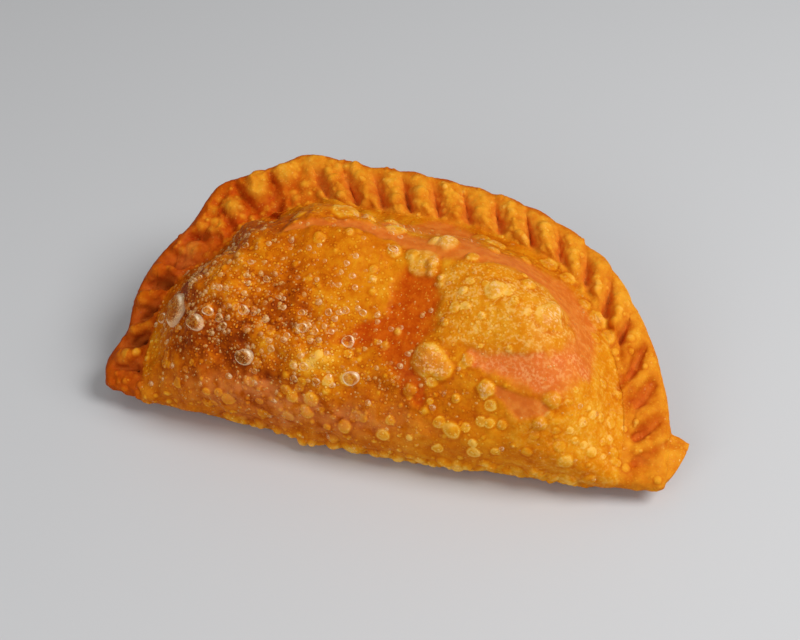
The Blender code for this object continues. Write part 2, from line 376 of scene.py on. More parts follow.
def belly_sheet(border, upper):
    """A sheet over the belly, from the fold to the rim's inner border, as plan points."""
    front_along = np.linspace(-fold_reach(-1), fold_reach(1), FRONT_STEPS + 1)
    front = np.stack([front_along, fold_line(front_along)], axis=-1)
    front[0], front[-1] = border[-1], border[0]
    right = border[: SIDE_STEPS + 1]
    back = border[SIDE_STEPS : SIDE_STEPS + FRONT_STEPS + 1][::-1]
    left = border[SIDE_STEPS + FRONT_STEPS :][::-1]
    i = np.linspace(0, 1, FRONT_STEPS + 1)[None, :, None]
    j = np.linspace(0, 1, SIDE_STEPS + 1)[:, None, None]
    plan = (1 - j) * front[None] + j * back[None] + (1 - i) * left[:, None] + i * right[:, None]
    plan = plan - (1 - i) * (1 - j) * front[0] - i * (1 - j) * front[-1]
    plan = plan - (1 - i) * j * back[0] - i * j * back[-1]
    side = np.full(plan.shape[:2], upper)
    for _ in range(4):
        plan = even_out(even_out(plan, side, 0), side, 1)
    return plan, side


def full_height(plan, upper):
    """From the seam to the surface, with the plain pleats."""
    along, depth = plan[..., 0], plan[..., 1]
    height = half_height(along, depth, upper) + pleat_relief(along, depth, upper)[0]
    return np.where(upper, height, -height)


def push_tab(plan, outward):
    """The end of the rim sticks out under the right corner."""
    angle = np.degrees(np.arctan2(plan[..., 1], plan[..., 0]))
    tab = ease(angle, TAB_FROM, TAB_TO) * (1 - ease(angle, TAB_TO - TAB_SOFTNESS, TAB_TO + TAB_SOFTNESS))
    push = TAB_REACH * tab * outward * ease(angle, 0, FOLD_KEPT)
    return plan + push[..., None] * unit(plan, 1)


def grid_faces(rows, columns, flip):
    """The four corners of every face of a sheet."""
    corner = (np.arange(rows - 1)[:, None] * columns + np.arange(columns - 1)[None]).ravel()
    faces = np.stack([corner, corner + 1, corner + columns + 1, corner + columns], axis=-1)
    return faces[:, ::-1] if flip else faces


class Crust:
    """The whole crust as three sheets that share their borders, each point known in the seam frame too."""

    def __init__(self):
        rim, above, outward = rim_sheet()
        sheets = {"rim": (push_tab(rim, outward), full_height(rim, above), above, True)}
        for name, border, upper in (("belly", rim[0], True), ("underside", rim[-1], False)):
            plan, side = belly_sheet(border, upper)
            sheets[name] = (plan, full_height(plan, side), side, not upper)
        self.parts = {}
        seam, upper, faces, first = [], [], [], 0
        for name, (plan, height, side, flip) in sheets.items():
            rows, columns = side.shape
            squares = grid_faces(rows, columns, flip)
            self.parts[name] = (slice(first, first + side.size), rows, columns, squares)
            faces.append(squares + first)
            seam.append(np.concatenate([plan, height[..., None]], axis=-1).reshape(side.size, 3))
            upper.append(side.ravel())
            first += side.size
        self.seam, self.upper, self.faces = (np.concatenate(each) for each in (seam, upper, faces))
        keys = np.round(self.seam * 1000).astype(np.int64)
        self.weld = np.unique(keys, axis=0, return_inverse=True)[1].ravel()
        self.points = lay_down(*self.seam.T)
        low, high = self.points.min(axis=0), self.points.max(axis=0)
        node_low, node_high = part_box(NODE)
        middle = (Vector(node_low) + Vector(node_high)) / 2 / MM
        shift = np.array([middle.x - (low[0] + high[0]) / 2, middle.y - (low[1] + high[1]) / 2, 0])
        self.points = self.points + shift

    def nearest(self, along, depth):
        """The number of the point on top that stands nearest to a place of the plan."""
        away = np.hypot(self.seam[:, 0] - along, self.seam[:, 1] - depth) + np.where(self.upper, 0, FAR)
        return int(np.argmin(away))

    def normals(self):
        """Which way the crust faces at each point, the same on both sides of a shared border."""
        a, b, c, d = (self.points[self.faces[:, k]] for k in range(4))
        square = np.cross(c - a, d - b)
        total = np.zeros((self.weld.max() + 1, 3))
        for k in range(4):
            for side in range(3):
                total[:, side] += np.bincount(self.weld[self.faces[:, k]], square[:, side], len(total))
        return unit(total, 1e-12)[self.weld]

    def unfold(self, facing):
        """Smooths the few spots where the relief has turned faces over; facing is the way out."""
        corners = self.weld[self.faces]
        before, after = np.roll(corners, 1, axis=1), np.roll(corners, -1, axis=1)
        starts = np.concatenate([corners.ravel(), corners.ravel()])
        ends = np.concatenate([before.ravel(), after.ravel()])
        count = self.weld.max() + 1
        neighbours = np.bincount(starts, minlength=count)[:, None]
        place, outward = np.zeros((count, 3)), np.zeros((count, 3))
        place[self.weld] = self.points
        outward[self.weld] = facing
        for _ in range(UNFOLDINGS):
            turned = np.zeros(len(corners), dtype=bool)
            for k in range(4):
                spot = place[corners[:, k]]
                square = np.cross(place[after[:, k]] - spot, place[before[:, k]] - spot)
                turned |= np.sum(square * outward[corners[:, k]], axis=1) < 0
            touched = np.unique(corners[turned])
            total = np.stack([np.bincount(starts, place[ends, side], count) for side in range(3)], axis=-1)
            place[touched] = (total / neighbours)[touched]
        self.points = place[self.weld]


# ---- the relief of the crust

# the lifted skins on the belly, as outlines of along and depth
LEFT_SKIN = (
    (-5.8, 40.8), (-2.6, 34.2), (0, 27.5), (-0.8, 23), (-5.9, 19.1), (-13, 13.4), (-21, 13), (-29.6, 14.9),
    (-33.2, 20.3), (-33, 28.6), (-27, 37.8), (-17.4, 42.1), (-10.8, 42.5),
)
RIGHT_SKIN = (
    (12.4, 36.5), (16.2, 40.1), (24.8, 40.6), (32.8, 40.1), (38.4, 38.1), (43.6, 32.7), (46.8, 25.3),
    (40.4, 18.8), (28.1, 16.6), (16.5, 18.2), (12.8, 26.7),
)
# smooth dough between the skins, as lines of along, depth and half-width
ORANGE_BANDS = (
    ((-32, 41, 0.8), (-22, 45.5, 1.6), (-12, 47, 2.2), (-3, 46.8, 2.4), (8, 43.5, 3.6)),
    ((8, 43.5, 3.6), (20, 44.8, 3.4), (30, 45.5, 3.6), (40.5, 43.5, 4.4), (47.5, 37, 4)),
    ((47.5, 37, 4), (50, 28, 3.4), (49.5, 20, 4.2), (45, 14, 5), (36, 14.2, 4.4), (24.5, 15.2, 2)),
    ((32, 8.5, 1.2), (38.5, 5.8, 2.6), (44, 6.4, 1.4)),
    ((-8, 51, 1.5), (-2, 54, 3.5), (5, 57, 6), (12, 54, 4.5), (16, 48, 3)),
)
RED_BANDS = (
    ((5.5, 34, 5.5), (5.8, 28, 7), (5, 22, 7), (5.4, 15, 5.2), (7.6, 9.5, 3.8), (12, 4, 2.2)),
    ((1, 20, 5), (-5, 18, 4.2), (-12, 15.5, 2.6)),
)
# the pink band's colour is partly the dough's own and partly a painted bluish reflection on its smooth skin
PINK_BANDS = (((25, 15, 1.8), (33, 14.6, 3.6), (42, 15, 4.4), (48.5, 19.5, 3.2)),)
# deep creases: a line of along, depth and half-width, then how deep it is
CREASES = (
    (((60.4, 21.4, 0.9), (62.4, 27.4, 1.6), (65.3, 36, 1)), 0.9), (((58.2, 36, 1.2), (59.4, 41, 1)), 0.4),
    (((63.8, 18.4, 1.8), (66.2, 21, 3.2), (69, 26, 1.5)), 1.1),
    (((66.8, 9.8, 1.4), (69.6, 12.8, 2.6), (73, 16.6, 1.5)), 0.9),
    (((68, 2.8, 0.9), (71.7, 6.6, 1.5), (75.2, 10.2, 0.9)), 0.9),
    (((-72, 36.5, 0.9), (-66.5, 35.6, 1.3)), 1.4),
    (((-67.5, 46, 0.9), (-63, 46.4, 1.3), (-59, 46.7, 1.3)), 1.7),
    (((-60, 55, 0.9), (-55.5, 50.5, 1.2)), 1.3),
    (((-58.5, 64, 0.8), (-55.6, 60.6, 1.4), (-51, 57.4, 1.4)), 1.4),
    (((-49.4, 69, 0.8), (-47, 65, 1.5), (-44.6, 60, 1.5), (-44, 54.5, 1.3)), 1.6),
)
# wide blisters on top: along, depth, width, rise, how whitish
BROAD_BLISTERS = (
    (13.2, 12.8, 10.5, 2.4, 0.9), (16.6, 11.2, 7, 1.9, 0.8), (40.6, 29, 8.6, 1.1, 1),
    (41.2, 32.4, 6.4, 1, 0.9), (27, 32.8, 6.2, 0.9, 0.9), (34.2, 37.6, 4.8, 0.9, 0.6),
    (10.2, 46.4, 7.4, 1.7, 1), (7, 46.6, 4.6, 0.9, 0.3), (5.6, 39.2, 9.4, 1, 0.3),
    (7.8, 38.6, 5.4, 1.5, 0.8), (2.6, 40.4, 5.2, 1.3, 0.3), (8.8, 36.4, 3.8, 1.2, 0.5),
    (3.6, 37, 4.2, 1.2, 0.2), (11.6, 35, 2.4, 0.7, 0.9), (-2.6, 41.4, 4.2, 1.1, 0.9),
    (20.5, 55, 8, 1.1, 0.4), (22.4, 48.6, 4, 1, 0.4), (17.8, 42.4, 4.4, 1.1, 0.3),
    (30.2, 49.4, 4.4, 0.9, 0.2), (9.7, 5.2, 4.4, 1.2, 0.3), (28.8, 8.6, 5, 1.4, 0.7),
    (45.6, 9, 5.4, 1.2, 0.7), (43.6, 3.4, 4, 1, 0.7), (21.6, 5.2, 3, 0.8, 0.2), (34.2, 1.6, 2.6, 0.8, 0.2),
    (24.4, 25.4, 2.4, 0.5, 0.8), (18.4, 31.6, 3, 0.6, 0.7), (23.4, 14.4, 3.6, 0.8, 0.7),
    (-15.2, 42.8, 3.2, 0.9, 0.6), (-22.6, 39.8, 4, 0.9, 0.1), (-6.4, 34.6, 2.8, 0.7, 0.7),
    (-6, 31.6, 2.6, 0.7, 0.8), (-5, 50, 7, 1, 0), (51.4, 39.6, 6.6, 0.9, 0.3), (47.6, 43.2, 4.4, 0.8, 0.2),
    (55.2, 35.4, 4.8, 0.8, 0.2), (41.5, 50.4, 5, 0.8, 0.1), (35.5, 53.6, 5.4, 0.9, 0.2),
    (16.6, 57.2, 6, 1, 0.2), (-30.5, 47, 5, 0.9, 0.2), (-21.4, 46.6, 3.4, 0.8, 0.4), (-8, 54, 6, 1, 0.2),
    (-19.5, 51.5, 9, 1.1, 0.4), (-13, 51.5, 4, 0.8, 0.9), (15.6, 22.6, 2.6, 0.6, 0.5), (3.4, 19, 3, 0.7, 0),
    (51.8, 33, 4, 0.6, 0.2), (62.2, 3.6, 3, 0.7, 0.1),
)
# swellings of the rim's back-left corner and left side
RIM_KNOBS = (
    (-57.4, 56.2, 10.5, 2.9), (-51.6, 63.8, 10.5, 2.9), (-45, 69.6, 9, 2.5), (-60.6, 47.6, 8, 2.4),
    (-64.6, 49, 6, 1.4), (-65, 41.6, 8.4, 1.7), (-37.4, 73.6, 8, 1.4), (-53.4, 68.4, 5.4, 1),
    (-62.8, 55, 5, 1), (-52.4, 51, 4.6, 1.2), (-45.4, 60.2, 4, 0.9), (-72.6, 33, 6, 1.6),
    (-74.4, 24, 7, 1.7), (-74.4, 14.4, 7, 1.7), (-74.4, 6.2, 6.4, 1.2), (-68, 41, 5, 1.2),
)
# blisters low on the front of the fold: along, height, width, rise
FRONT_BLISTERS = (
    (21.6, 12.6, 5.4, 1.1), (18.2, 13.8, 3.4, 0.7), (27.2, 10.7, 3.2, 0.7), (27.6, 8, 4.4, 1),
    (33.2, 8.6, 3, 0.7), (18, 7.2, 3.6, 0.8), (41, 10, 3, 0.7), (31, 15, 3, 0.7), (50.6, 8, 5.2, 1.1),
    (46.2, 1.2, 3.4, 0.8), (51.2, 0.8, 5, 1.2), (57.1, 2.4, 4.4, 1.1), (56.7, 7.9, 3.2, 0.8),
    (62.4, 4.2, 2.8, 0.7), (-40, 9, 4.4, 1), (-44.6, 5.6, 2.8, 0.7), (-39, 4.4, 2.6, 0.6),
    (-30, 5.8, 4, 0.9), (-23, 7.6, 4, 0.9), (-21.6, 13.2, 3.8, 0.9), (-16.2, 13.6, 5, 1.2),
    (-17.4, 10.4, 4, 0.9), (-46, 9.6, 3, 0.7), (-55.1, 8.4, 3, 0.7), (-7, 8.8, 4.4, 1), (3.6, 9, 4.4, 1),
    (5.2, 12.6, 3.2, 0.8), (-2, 12, 2.6, 0.6), (-12, 7.4, 2.6, 0.6), (10.6, 9.4, 2.6, 0.6),
)
# lighter and darker places: along, depth, half-length, half-depth, by how much
TONES = (
    (57, 22, 9, 20, 0.14), (30, 27, 12, 9, 0.08), (7, 40.5, 5, 4.5, 0.14), (10.2, 46.4, 3.6, 2.6, 0.16),
    (6, 26, 8, 10, 0.05), (24, 3, 10, 4, 0.06), (-45, 24, 18, 16, -0.12), (58, 6, 9, 8, 0.12),
    (30, 29, 14, 10, 0.12), (33, 0, 14, 5, 0.12), (-44, 19, 4.5, 3, 0.3), (-46.5, 26, 5.5, 3.6, 0.2),
    (-30, 11, 4, 3, 0.22), (-16, 7.5, 4.6, 4.2, 0.24), (-11.5, 9, 4, 3, 0.1), (-66, 11, 3, 8, 0.16),
    (-9, 28, 8, 9, 0.1), (-21, 36, 8, 5, 0.08), (-38, 30, 6, 6, 0.1), (-5, 50, 7, 3.4, 0.2),
    (-20, 57, 9, 3.4, 0.18), (-57, 20, 8, 7, -0.22), (-26, 51, 7, 5, 0.12), (-50, 42, 9, 6, -0.17),
    (-38, 52, 9, 4, -0.12), (-62, 31, 4, 7, -0.22), (-35, 4, 7, 3.4, -0.14), (-12, 0, 16, 3, -0.1),
    (-47, 8, 8, 4, -0.14), (-31, 19, 6, 5, -0.1), (-15, 46.5, 9, 2, -0.16), (-26, 30, 5, 7, -0.06),
    (-40, 12, 6, 3.6, -0.16), (-10, 15, 4, 3, -0.1), (15, 3.5, 7, 3, -0.14), (25, 2, 6, 3, -0.12),
    (3, 5, 3.6, 3, -0.14),
)
# a pinkish sheen over the skin: along, depth, half-length, half-depth, by how much
SHEEN = (
    (-34, -1, 8, 1.6, 0.5), (-24, -1.5, 8, 1.8, 0.7), (-66, 42, 3, 5, 0.3), (-8, -3, 14, 1.8, 0.8),
    (-47, -1, 12, 2, 0.4), (42, 24, 4, 6, 0.4),
)
# where the glassy bubbles crowd, and where small blisters do
BUBBLED = (
    (-42, 16, 15, 8, 1), (-24, 12, 16, 8, 0.9), (-55, 28, 9, 8, 0.7), (-45, 37, 8, 6, 0.4),
    (-30, 27, 12, 10, 0.5), (-9, 51, 6, 2.4, 0.4), (9, 52, 6, 2, 0.15), (2, 8, 8, 7, 0.4),
    (8, 28, 8, 7, 0.06), (40, 15, 14, 8, 0.05),
)
# the big glassy bubbles: along, depth, length, width
GLASSY = (
    (-59.4, 17.8, 6.4, 9.4), (-50.6, 12.8, 6, 4.6), (-66, 18.4, 3.1, 3.1), (-47.8, 15.4, 3, 2.6),
    (-44.4, 14.4, 2.6, 2.4), (-42.8, 12.4, 2.6, 2.2), (-36, 6, 5.6, 4.6), (-32.6, 3.2, 2, 1.6),
    (-38.3, 17.2, 3, 2.8), (-20.9, 15.1, 2.9, 2.8), (-9, 14.2, 3.6, 3.4), (-22.3, 18.8, 2, 2),
    (-15.4, 20.2, 2, 2), (-11, 21.9, 2, 2), (-6.6, 22.4, 2.2, 2), (-6.2, 5.8, 4.4, 4),
    (-18.8, 6.4, 2.3, 2.5), (-15.4, 3.8, 2.3, 2.1), (-21.1, 3.4, 2.3, 2.1), (-28.4, 8.6, 2, 2),
    (-24.6, 12.2, 1.9, 1.9), (-33.6, 26, 2.1, 1.9), (-17.6, 15, 2, 2), (-3, 41.4, 2.8, 2),
    (-45.4, 21.6, 2.2, 2), (-53, 24.6, 2.4, 2), (-7, 50, 2, 1.6), (-4, 50.6, 2.4, 2),
    (-1.6, 51.4, 2.8, 2.3), (0.8, 51, 2.1, 1.8), (3, 51.8, 1.9, 1.6), (-5.4, 47.6, 1.9, 1.6),
    (14.6, 50.6, 2.6, 2.1), (-42, 35, 2, 1.8), (-46, 33, 2.4, 2), (-44, 38, 1.8, 1.6),
)
# the crust's unevenness: the size of each draw, in millimetres, and its seed
GRAINS = ((11, 3), (6.5, 5), (3.6, 4), (2.2, 8), (1.3, 6), (0.85, 7))
SHIFTING_GRAINS = ((6.5, 15), (3, 16))
# scattered blisters: how many, how far apart and the seed, then the range of the widths and of the rises
PEBBLES = ((210, 2.3, 19), (1.4, 3.6), (0.16, 0.28))
SMALL_BLISTERS = ((95, 3, 18), (1.7, 3.7), (0.07, 0.14))
BEADS = ((520, 1.5, 12), (0.9, 1.5), (0.14, 0.26))
BEAD_SIZES = (1, 1, 1, 1.4, 1.9)
HIGHEST_BEAD = 0.36
CRUMBS = (150, (1.8, 5), (0.16, 0.32))
KNOB_SEED, BEAD_SEED, BLISTER_SEED = 10, 11, 17
# the form of a blister, whose foot is a ring round it; one on the front of the fold rises less
BLISTER_REACH, BLISTER_LIMIT, BLISTER_ROUNDNESS, WAVERING_FROM = 0.75, 1.4, 1.4, 4
FOOT = (1.06, 0.13)
WHITE_TOP = (0.35, 0.95)
FRONT_DEPTH, FRONT_RISE = 8, 0.7
# where the top, the skin above the ground and the rim begin, and the soft edge of a band
TOP_FROM = (-2.5, 0)
SKIN_FROM = (-8, -3)
RIM_FROM = (-1.2, 1.2)
BAND_EDGE = (0.6, 1.3)
# how light the crust is, from 0, dark orange-brown, to 1, pale gold; then the steps round the rim
BELLY_TONE = 0.57
RIM_TONE = 0.62
RIM_TONE_STEPS = ((28, 42, 0.08), (126, 160, -0.39), (168, 174, 0.08))


def to_stretch(along, depth, start, end):
    """How far each point is from a straight stretch, and which share of the stretch lies before it."""
    (x0, y0), (x1, y1) = start[:2], end[:2]
    dx, dy = x1 - x0, y1 - y0
    share = np.clip(((along - x0) * dx + (depth - y0) * dy) / (dx * dx + dy * dy), 0, 1)
    return np.hypot(along - x0 - dx * share, depth - y0 - dy * share), share


def edge_distance(along, depth, outline):
    """How far inside an outline a point lies; negative outside it."""
    nearest = np.full(len(along), FAR)
    crossings = np.zeros(len(along), dtype=int)
    for start, end in zip(outline, outline[1:] + outline[:1]):
        nearest = np.minimum(nearest, to_stretch(along, depth, start, end)[0])
        (x0, y0), (x1, y1) = start, end
        spans = (y0 > depth) != (y1 > depth)
        crossings += spans & (along < x0 + (x1 - x0) * (depth - y0) / ((y1 - y0) or 1))
    return np.where(crossings % 2 == 1, nearest, -nearest)


def band_distance(along, depth, path):
    """Distance to a line of changing width, as a share of its half-width there."""
    nearest = np.full(len(along), FAR)
    for start, end in zip(path, path[1:]):
        away, share = to_stretch(along, depth, start, end)
        nearest = np.minimum(nearest, away / (start[2] + (end[2] - start[2]) * share))
    return nearest


def bands(along, depth, paths, waver):
    """1 on the bands and 0 beside them, with a wavering edge."""
    cover = np.zeros(len(along))
    for path in paths:
        cover = np.maximum(cover, 1 - ease(band_distance(along, depth, path) + waver, *BAND_EDGE))
    return cover


def patches(along, depth, spots):
    """Soft round patches added up."""
    total = np.zeros(len(along))
    for middle, back, half_length, half_depth, strength in spots:
        total = total + strength * hump(along, middle, half_length) * hump(depth, back, half_depth)
    return total


class Blisters:
    """Round swellings of the crust: where they stand, how wide they are and how far they rise."""

    def __init__(self, crust, on_top=()):
        self.crust = crust
        self.order = np.argsort(crust.points[:, 0])
        self.sorted_x = crust.points[self.order, 0]
        self.swellings = []
        for along, depth, *rest in on_top:
            self.add(crust.nearest(along, depth), *rest)

    def add(self, number, width, rise, pale=0):
        self.swellings.append((self.crust.points[number], width, rise, pale))

    def add_in_front(self, along, height, width, rise):
        seam = self.crust.seam
        front = np.abs(seam[:, 1] - fold_line(seam[:, 0])) < FRONT_DEPTH
        away = np.hypot(seam[:, 0] - along, seam[:, 2] - height) + np.where(front, 0, FAR)
        self.add(np.argmin(away), width, FRONT_RISE * rise)

    def strew(self, numbers, random, widths, rises, sizes=(), highest=math.inf, palest=None):
        """A blister at each numbered point, of a random width, its rise a random share of the width."""
        for number in numbers:
            width = random.uniform(*widths)
            if sizes:
                width = width * random.choice(sizes)
            rise = min(width * random.uniform(*rises), highest)
            self.add(number, width, rise, random.uniform(0, palest) if palest else 0)

    def relief(self, flatness, waver):
        """The blisters' height over the crust, how far up a top a point lies, a ring round the foot that is
        painted darker as shade, and how whitish the top is."""
        points = self.crust.points
        relief, top, foot, white = (np.zeros(len(points)) for _ in range(4))
        for place, width, rise, pale in self.swellings:
            reach = BLISTER_REACH * width
            first, last = np.searchsorted(self.sorted_x, (place[0] - reach, place[0] + reach))
            near = self.order[first:last]
            away = np.linalg.norm(points[near] - place, axis=1) / (width / 2)
            away = away + waver[near] * min(1, WAVERING_FROM / width)
            inside = away < BLISTER_LIMIT
            near, away = near[inside], away[inside]
            shape = np.clip(1 - np.clip(away, 0, 1) ** flatness, 0, 1) ** BLISTER_ROUNDNESS
            shapes = (rise * shape, shape, hump(away, *FOOT), pale * ease(shape, *WHITE_TOP))
            for total, value in zip((relief, top, foot, white), shapes):
                total[near] = np.maximum(total[near], value)
        return relief, top, foot * (1 - top), white


def scatter(points, allowed, count, spacing, seed):
    """Random places of the crust, kept at least spacing apart; allowed is how likely each is taken."""
    random = np.random.default_rng(seed)
    kept, taken = [], set()
    for number in random.choice(len(points), size=count * 3, p=allowed / allowed.sum()):
        cell = tuple(np.floor(points[number] / spacing).astype(int))
        if len(kept) < count and cell not in taken:
            taken.add(cell)
            kept.append(number)
    return kept


def raise_crust(crust):
    """Lifts the blisters, skins and knobs out of the plain form, and notes what each point shows."""
    along, depth, height = crust.seam.T
    points, normals = crust.points, crust.normals()
    angle, from_edge = rim_place(along, depth)
    from_fold = depth - fold_line(along)
    top, skin = ease(height, *TOP_FROM), ease(height, *SKIN_FROM)
    on_rim = ease(rim_width(angle) - from_edge, *RIM_FROM)
    off_rim = 1 - on_rim
    belly = skin * off_rim
    _, groove, swell = pleat_relief(along, depth, top)
    groove = groove * (0.35 + 0.65 * top)
    big, wide, middle, small, fine, finest = (unevenness(points, *grain) for grain in GRAINS)
    waver = 0.16 * wide + 0.16 * middle + 0.08 * small
    shifting = [unevenness(points, *grain) for grain in SHIFTING_GRAINS]
    shifted_along = along + 2 * wide + 1.2 * middle + 0.6 * small
    shifted_depth = depth + 2 * shifting[0] + 1.2 * shifting[1]

    # the skins, the bands of smooth dough beside them and the creases
    left_skin = ease(edge_distance(along, depth, LEFT_SKIN) + 5 * waver, -1, 1) * top * off_rim
    left_skin = left_skin * ease(along + 0.8 * (depth - 28), -36, -14)
    right_skin = ease(edge_distance(along, depth, RIGHT_SKIN) + 4 * waver, -1.4, 1.4) * top * off_rim
    skins = np.maximum(left_skin, right_skin)
    upward = top * off_rim
    orange = bands(along, depth, ORANGE_BANDS, waver) * upward * (1 - skins)
    red = bands(along, depth, RED_BANDS, waver) * upward * (1 - skins)
    pink = bands(along, depth, PINK_BANDS, 2 * waver) * upward * (1 - 0.6 * skins)
    bare = np.clip(orange + red + pink, 0, 1)
    crease = np.zeros(len(points))
    for path, deep in CREASES:
        crease = np.maximum(crease, deep * np.exp(-band_distance(along, depth, path) ** 2) * top)
    crease = crease * (1 - 0.5 * np.clip(groove, 0, 1) * ease(angle, 90, 110))

    # the lumps of the belly, most of all on the left, and the ragged seam low on the fold
    left = ease(-along, -2, 16)
    front = belly * (1 - ease(from_fold, 8, 20))
    lumpy = belly * (1 - 0.8 * skins) * (1 - 0.85 * bare)
    lumpy = lumpy * (0.3 + 0.7 * np.maximum(left * top, 0.15 * front))
    ragged = hump(height, -2.5, 2.6) * (1 - ease(np.abs(from_fold), 3, 8)) * off_rim
    ragged = ragged * ease(60 - np.abs(along), 0, 10) * (0.35 + 0.65 * ease(along, -34, -16))

    # the knobs and pebbles of the rim
    knobs = Blisters(crust, RIM_KNOBS)
    random = np.random.default_rng(KNOB_SEED)
    grooves = groove_angles()[1:-1]
    for turn in (grooves[:-1] + grooves[1:]) / 2:
        for across in random.uniform(0.2, 0.85, 2):
            reach = rim_radius(turn) - rim_width(turn) * (1 - across)
            place = np.radians(turn + pleat_slant(turn) * (across - 0.5))
            width = random.uniform(3.4, 5.8)
            rise = 0.2 * width * (0.15 + 0.85 * ease(turn, 26, 46))
            knobs.add(crust.nearest(reach * np.cos(place), reach * np.sin(place)), width, rise)
    likely = on_rim * top * np.clip(1 - groove, 0, 1) * ease(angle, 28, 55) * ease(from_edge, 0.8, 2.5)
    likely = likely * (1 - 0.6 * ease(angle, 116, 130))
    pebbles = Blisters(crust)
    scattering, widths, rises = PEBBLES
    pebbles.strew(scatter(points, likely, *scattering), random, widths, rises)
    knob_relief, knob_top, _, _ = knobs.relief(1.9, 1.1 * waver)
    pebble_relief, pebble_top, _, _ = pebbles.relief(2, waver)
    knob_relief = 0.8 * knob_relief + 0.8 * pebble_relief
    knob_top = np.maximum(knob_top, 0.8 * pebble_top)
    at_corner = hump(angle, CORNER_ANGLE, 14) * on_rim * top * ease(from_edge, 2.6, 5)

    # the blisters of the belly
    broad = Blisters(crust, BROAD_BLISTERS)
    for swelling in FRONT_BLISTERS:
        broad.add_in_front(*swelling)
    likely = (1 - ease(from_fold, 18, 30)) * ease(from_fold, 1.5, 5) * (0.45 + 0.3 * left)
    likely = (likely + 0.5 * right_skin) * belly * top
    likely = likely * (1 - 0.9 * bare) * (1 - 0.85 * left_skin) * ease(66 - np.abs(along), 0, 8)
    scattering, widths, rises = SMALL_BLISTERS
    random = np.random.default_rng(BLISTER_SEED)
    broad.strew(scatter(points, likely, *scattering), random, widths, rises, palest=0.6)
    broad_relief, broad_top, broad_foot_shade, white = broad.relief(2.6, 1.4 * waver)
    broad_relief = broad_relief * (0.82 + 0.25 * small)

    # the beads all over, and the crumbs of the ragged seam
    likely = belly * (1 - 0.75 * bare) * (0.45 + 0.1 * front + 0.3 * left * top) * (1 - 0.6 * left_skin)
    likely = likely * (1 - 0.8 * broad_top) * (1 - 0.7 * ease(along, 28, 42)) + 0.22 * on_rim * top
    likely = likely + 0.3 * (1 - skin) * (points[:, 2] > 1.5)
    beads = Blisters(crust)
    scattering, widths, rises = BEADS
    random = np.random.default_rng(BEAD_SEED)
    numbers = scatter(points, np.clip(likely, 0, None), *scattering)
    beads.strew(numbers, random, widths, rises, BEAD_SIZES, HIGHEST_BEAD)
    count, widths, rises = CRUMBS
    numbers = random.choice(len(points), size=count, p=ragged / ragged.sum())
    beads.strew(numbers, random, widths, rises)
    bead_relief, bead_top, bead_foot_shade, _ = beads.relief(2.8, 0.5 * waver)

    # the whole relief, which stops where the crust rests on the ground
    spots = patches(shifted_along, shifted_depth, TONES) * top
    left_rim = on_rim * ease(angle, 118, 135)
    rim_relief = on_rim * ease(from_edge, 0, 3) * (0.35 * middle + 0.25 * small) * (1 + 1.1 * left_rim)
    rim_relief = rim_relief + on_rim * knob_relief - 0.9 * at_corner
    scallop = ease(angle, 25, 45) * ease(124 - angle, 0, 15)
    rim_relief = rim_relief + (0.6 + 0.5 * wide) * (swell - 0.6) * hump(from_edge, 0, 1.4) * scallop
    rough = (fine * 0.08 + finest * 0.06) * (1 - 0.85 * bare)
    bulges = np.clip(spots, -0.3, 0.4) * 2.2 * off_rim
    relief = big * 0.6 + (wide * 1.1 + middle * 0.55) * lumpy + bulges
    relief = relief + 0.28 * skins - 0.5 * red - 0.25 * orange - 0.2 * pink
    relief = relief + np.maximum(broad_relief, bead_relief) + rim_relief - crease + rough
    tatters = 0.4 * np.abs(small) + 1.1 * np.abs(middle)
    relief = relief + ragged * np.clip(0.4 + 1.6 * wide, 0, 1.5) * tatters
    crust.points = points + normals * (relief * ease(points[:, 2], 0, 5))[:, None]
    crust.points[:, 2] = np.maximum(crust.points[:, 2], 0)
    crust.unfold(normals)

    # how light the crust is
    tone = BELLY_TONE - 0.06 * left * top * (1 - left_skin) + spots * off_rim + 0.05 * right_skin
    tone = tone + 0.1 * lumpy * (wide + 0.6 * middle)
    flank = ease(angle, 35, 70)
    # painted shade: the rim is a little darker down in its grooves
    rim_tone = add_steps(RIM_TONE, angle, RIM_TONE_STEPS) - 0.06 * groove + 0.08 * middle + 0.06 * small
    # painted light and shade on the rim's knobs: their tops are lighter, and the dips between them darker
    rim_tone = rim_tone + 0.16 * knob_top * top + (0.16 * knob_top - 0.16) * at_corner
    rim_tone = rim_tone + (0.18 * knob_top - 0.14) * left_rim * (1 - at_corner)
    # painted shade: the sealed edge is darker round the back and the left, where it turns away from the
    # light; round the right it is a little lighter
    rim_tone = rim_tone - 0.3 * hump(from_edge, 0, 1.2) * flank
    rim_tone = rim_tone + 0.08 * hump(from_edge, 0, 3) * (1 - flank)
    # painted shade: the crust more than a few millimetres below the seam, low on the fold and underneath,
    # is darker
    tone = tone * off_rim + rim_tone * on_rim - 0.1 * (1 - skin)
    calm = ease(along, 26, 44) * belly
    domed = ease(broad_top, 0.04, 0.4) * (1 - 0.35 * ease(broad_top, 0.45, 0.95)) * (1 - 0.3 * white)
    lighter = np.maximum(domed, 0.8 * bead_top) * (1 - 0.45 * calm)
    # painted shade: a darker ring round the foot of each blister and bead
    tone = tone + (0.28 + 0.12 * front * (1 - calm)) * lighter - 0.1 * np.maximum(broad_foot_shade, bead_foot_shade)

